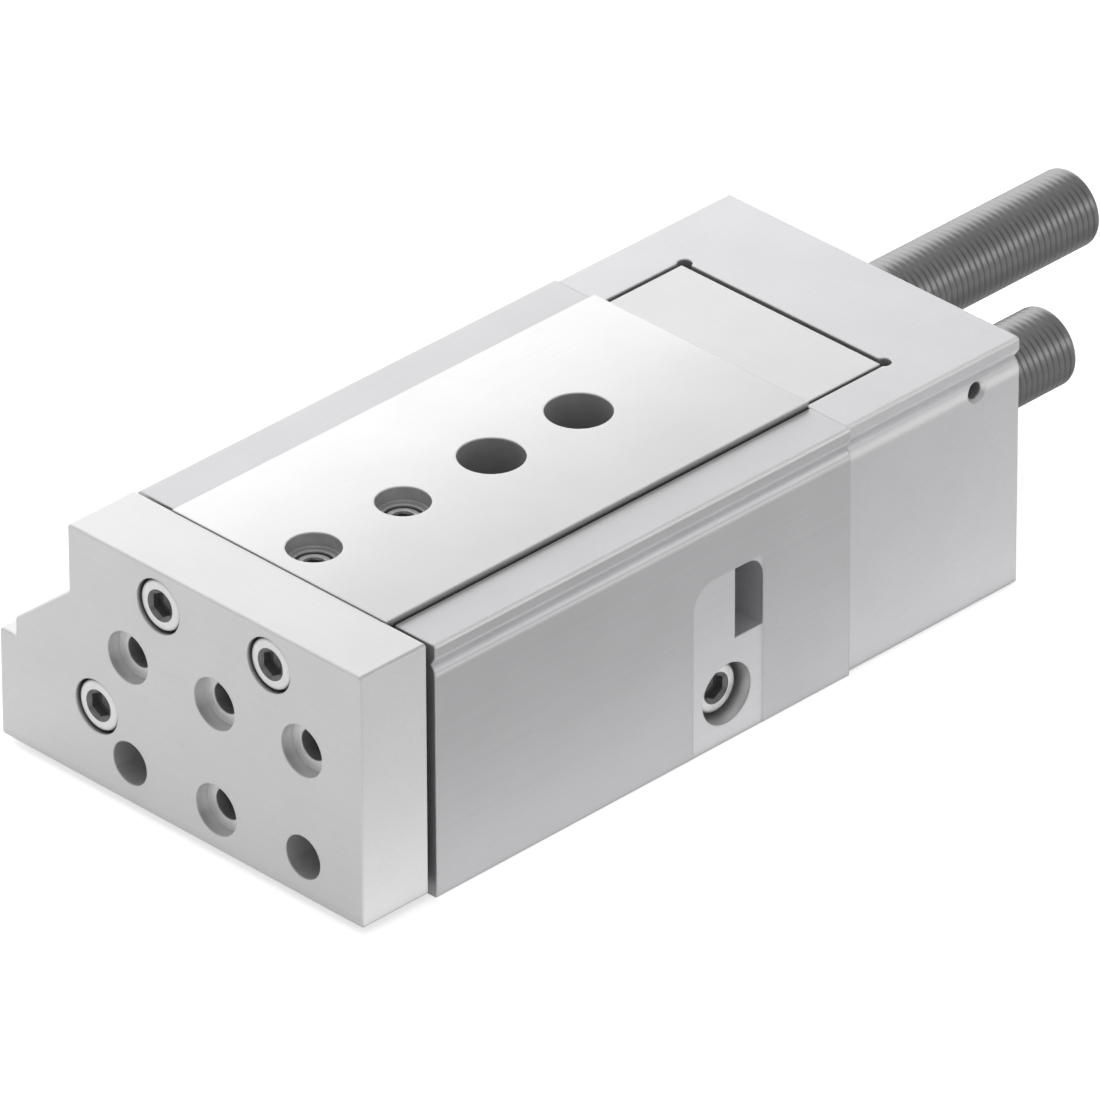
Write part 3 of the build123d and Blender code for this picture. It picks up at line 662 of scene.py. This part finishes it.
def thread_skin(mesh, radius, top, bottom):
    """Helical thread between two heights, running out to the full radius at both ends."""
    turns = int((top - bottom) / THREAD_PITCH) + 3
    rows = []
    for turn in range(-2, turns):
        for share, depth in THREAD_FORM:
            row = []
            for k in range(SEGMENTS):
                angle = 2 * math.pi * k / SEGMENTS
                height = bottom + THREAD_PITCH * (turn + share + k / SEGMENTS)
                height = min(max(height, bottom), top)
                fade = min(1.0, (height - bottom) / THREAD_RUN_OUT, (top - height) / THREAD_RUN_OUT)
                reach = radius - THREAD_DEPTH * depth * fade
                row.append(mesh.verts.new((reach * math.cos(angle), reach * math.sin(angle), height)))
            rows.append(row)
    per_turn = len(THREAD_FORM)
    for n in range(len(rows) - 1 - per_turn):
        # Faces at the thread's roots take the third material, which carries painted shade.
        cut = n % per_turn in THREAD_CUT
        for k in range(SEGMENTS):
            if k + 1 < SEGMENTS:
                corners = (rows[n][k], rows[n][k + 1], rows[n + 1][k + 1], rows[n + 1][k])
            else:
                corners = (rows[n][k], rows[n + per_turn][0], rows[n + per_turn + 1][0], rows[n + 1][k])
            mesh.faces.new(corners).material_index = 2 if cut else 0


def make_absorber(node, materials, body):
    """Shock absorber body with its thread, rounded ends, adjuster socket and plunger bore."""
    low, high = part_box(node)
    place, length, radius = outer_end(low, high, REAR)
    mesh = bmesh.new()
    rear = socket_rings(ADJUSTER_KEY, ADJUSTER_DEPTH, ADJUSTER_MOUTH) + round_over(radius, 0, ROUND_END, 1)
    lathe(mesh, rear, Vector((0, 0, -ADJUSTER_DEPTH)))
    thread_skin(mesh, radius, -ROUND_END, -length + ROUND_END)
    front = round_over(radius, -length, ROUND_END, -1)[::-1]
    bore_floor = -length + PLUNGER_BORE_DEPTH
    front += [ring_points(PLUNGER_BORE, -length), ring_points(PLUNGER_BORE, bore_floor)]
    lathe(mesh, front, None, Vector((0, 0, bore_floor)))
    piece = place_piece(node + "_fine", mesh, place, REAR, materials, body, ADJUSTER_MOUTH)
    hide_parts(node)


# Stage, light and camera


def make_stage():
    """Pale floor that the camera sees as white, apart from the object's soft shadow."""
    mesh = bmesh.new()
    bmesh.ops.create_grid(mesh, x_segments=1, y_segments=1, size=FLOOR_HALF)
    data = bpy.data.meshes.new("floor")
    mesh.to_mesh(data)
    mesh.free()
    floor = bpy.data.objects.new("floor", data)
    bpy.context.scene.collection.objects.link(floor)
    material, tree, shader = new_material("floor_white")
    shader.inputs["Base Color"].default_value = FLOOR_COLOUR
    shader.inputs["Roughness"].default_value = 0.9
    shader.inputs["Specular IOR Level"].default_value = 0.1
    shader.inputs["Emission Color"].default_value = (1, 1, 1, 1)
    path = add(tree, "LightPath")
    across = add(tree, "SeparateXYZ", {0: add(tree, "TexCoord").outputs["Object"]}).outputs["X"]
    beside = ramp(tree, across, GLOW_START, GLOW_END, FLOOR_GLOW_NEAR, FLOOR_GLOW_FAR)
    is_beside = math_node(tree, "GREATER_THAN", across, GLOW_START)
    glow = add(tree, "Mix", {0: is_beside, 2: FLOOR_GLOW_FRONT, 3: beside}).outputs[0]
    reflected = math_node(tree, "MULTIPLY", path.outputs["Is Glossy Ray"], glow)
    lift = math_node(tree, "MULTIPLY_ADD", path.outputs["Is Camera Ray"], FLOOR_LIFT, reflected)
    tree.links.new(lift, shader.inputs["Emission Strength"])
    data.materials.append(material)


def make_world():
    """Even white surroundings: full white to the camera, softer as light."""
    world = bpy.data.worlds.new("studio")
    world.use_nodes = True
    tree = world.node_tree
    tree.nodes.clear()
    seen = add(tree, "Background", {"Color": (1, 1, 1, 1), "Strength": 1.0})
    light = add(tree, "Background", {"Color": (1, 1, 1, 1), "Strength": ROOM_LIGHT})
    path = add(tree, "LightPath")
    mix = add(tree, "MixShader", {0: path.outputs["Is Camera Ray"], 1: light.outputs[0], 2: seen.outputs[0]})
    output = add(tree, "OutputWorld")
    tree.links.new(mix.outputs[0], output.inputs["Surface"])
    bpy.context.scene.world = world


def make_light(name, place, aim, size, power):
    """Rectangular area light at a place, turned to an aim; the first size runs level."""
    data = bpy.data.lights.new(name, "AREA")
    data.shape = "RECTANGLE"
    data.size, data.size_y = size
    data.energy = power
    light = bpy.data.objects.new(name, data)
    light.location = place
    light.rotation_euler = (Vector(aim) - Vector(place)).to_track_quat("-Z", "Y").to_euler()
    bpy.context.scene.collection.objects.link(light)


def make_camera():
    data = bpy.data.cameras.new("photo_camera")
    data.sensor_width = SENSOR_WIDTH
    data.lens = CAMERA_LENS
    data.clip_end = 20
    camera = bpy.data.objects.new("photo_camera", data)
    backward = -CAMERA_LOOK.normalized()
    across = CAMERA_UP.cross(backward).normalized()
    up = backward.cross(across)
    turn = Matrix((across, up, backward)).transposed().to_4x4()
    camera.matrix_world = Matrix.Translation(CAMERA_PLACE) @ turn
    bpy.context.scene.collection.objects.link(camera)
    bpy.context.scene.camera = camera


# The table itself


def finish_cad_nodes():
    """Gives every CAD node its material."""
    finishes = {
        housing_metal: ("housing",),
        cap_metal: ("rear_cap",),
        yoke_metal: ("yoke_plate",),
        slide_steel: ("slide",),
        block_metal: ("end_block", "clamp_jaw", "travel_stop", "stop_lug", "cylinder_plug", "piston"),
        inner_steel: (
            "guide_rail_left",
            "guide_rail_right",
            "piston_rod",
            "retaining_ring",
            "piston_magnet",
            "absorber_lock_nut",
            "fixed_absorber_plunger",
            "moving_absorber_plunger",
            "travel_stop_screw",
            "end_block_screws",
            "stop_lug_screws",
        ),
        ball_steel: ("balls_left", "balls_right"),
        brass: ("rod_bearing",),
        moulded_plastic: ("ball_cage_left", "ball_cage_right"),
        rubber: ("rod_seal", "rod_wiper", "piston_seal", "plug_seal"),
    }
    for make, nodes in finishes.items():
        material = make()
        for node in nodes:
            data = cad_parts[node].data
            data.materials.clear()
            data.materials.append(material)


def rebuild_fasteners():
    steel = (screw_steel(), socket_shade_steel())
    make_cap_screws("yoke_screws", FRONT, steel, "table")
    make_cap_screws("rod_screw", FRONT, steel, "table")
    make_cap_screws("cap_screws", REAR, steel, "base")
    make_cap_screws("clamp_screw", RIGHT, steel, "base")
    make_set_screws("slide_set_screws", UP, steel, "table")
    make_set_screws("port_plugs", REAR, steel, "base")


def rebuild_absorbers():
    steel = (absorber_steel(), socket_shade_steel(), absorber_steel("thread_root_steel", shaded_roots))
    make_absorber("fixed_absorber", steel, "base")
    make_absorber("moving_absorber", steel, "table")


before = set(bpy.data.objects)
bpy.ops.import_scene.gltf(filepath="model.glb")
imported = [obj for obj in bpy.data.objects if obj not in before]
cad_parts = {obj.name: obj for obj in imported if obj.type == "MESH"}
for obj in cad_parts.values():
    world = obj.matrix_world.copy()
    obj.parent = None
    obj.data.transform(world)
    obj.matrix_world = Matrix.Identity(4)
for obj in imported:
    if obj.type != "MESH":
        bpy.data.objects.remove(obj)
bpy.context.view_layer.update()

finish_cad_nodes()
rebuild_fasteners()
rebuild_absorbers()
make_stage()
make_world()
for lamp, settings in LAMPS.items():
    make_light(lamp, *settings)
make_camera()
bpy.context.scene.view_settings.view_transform = "Standard"
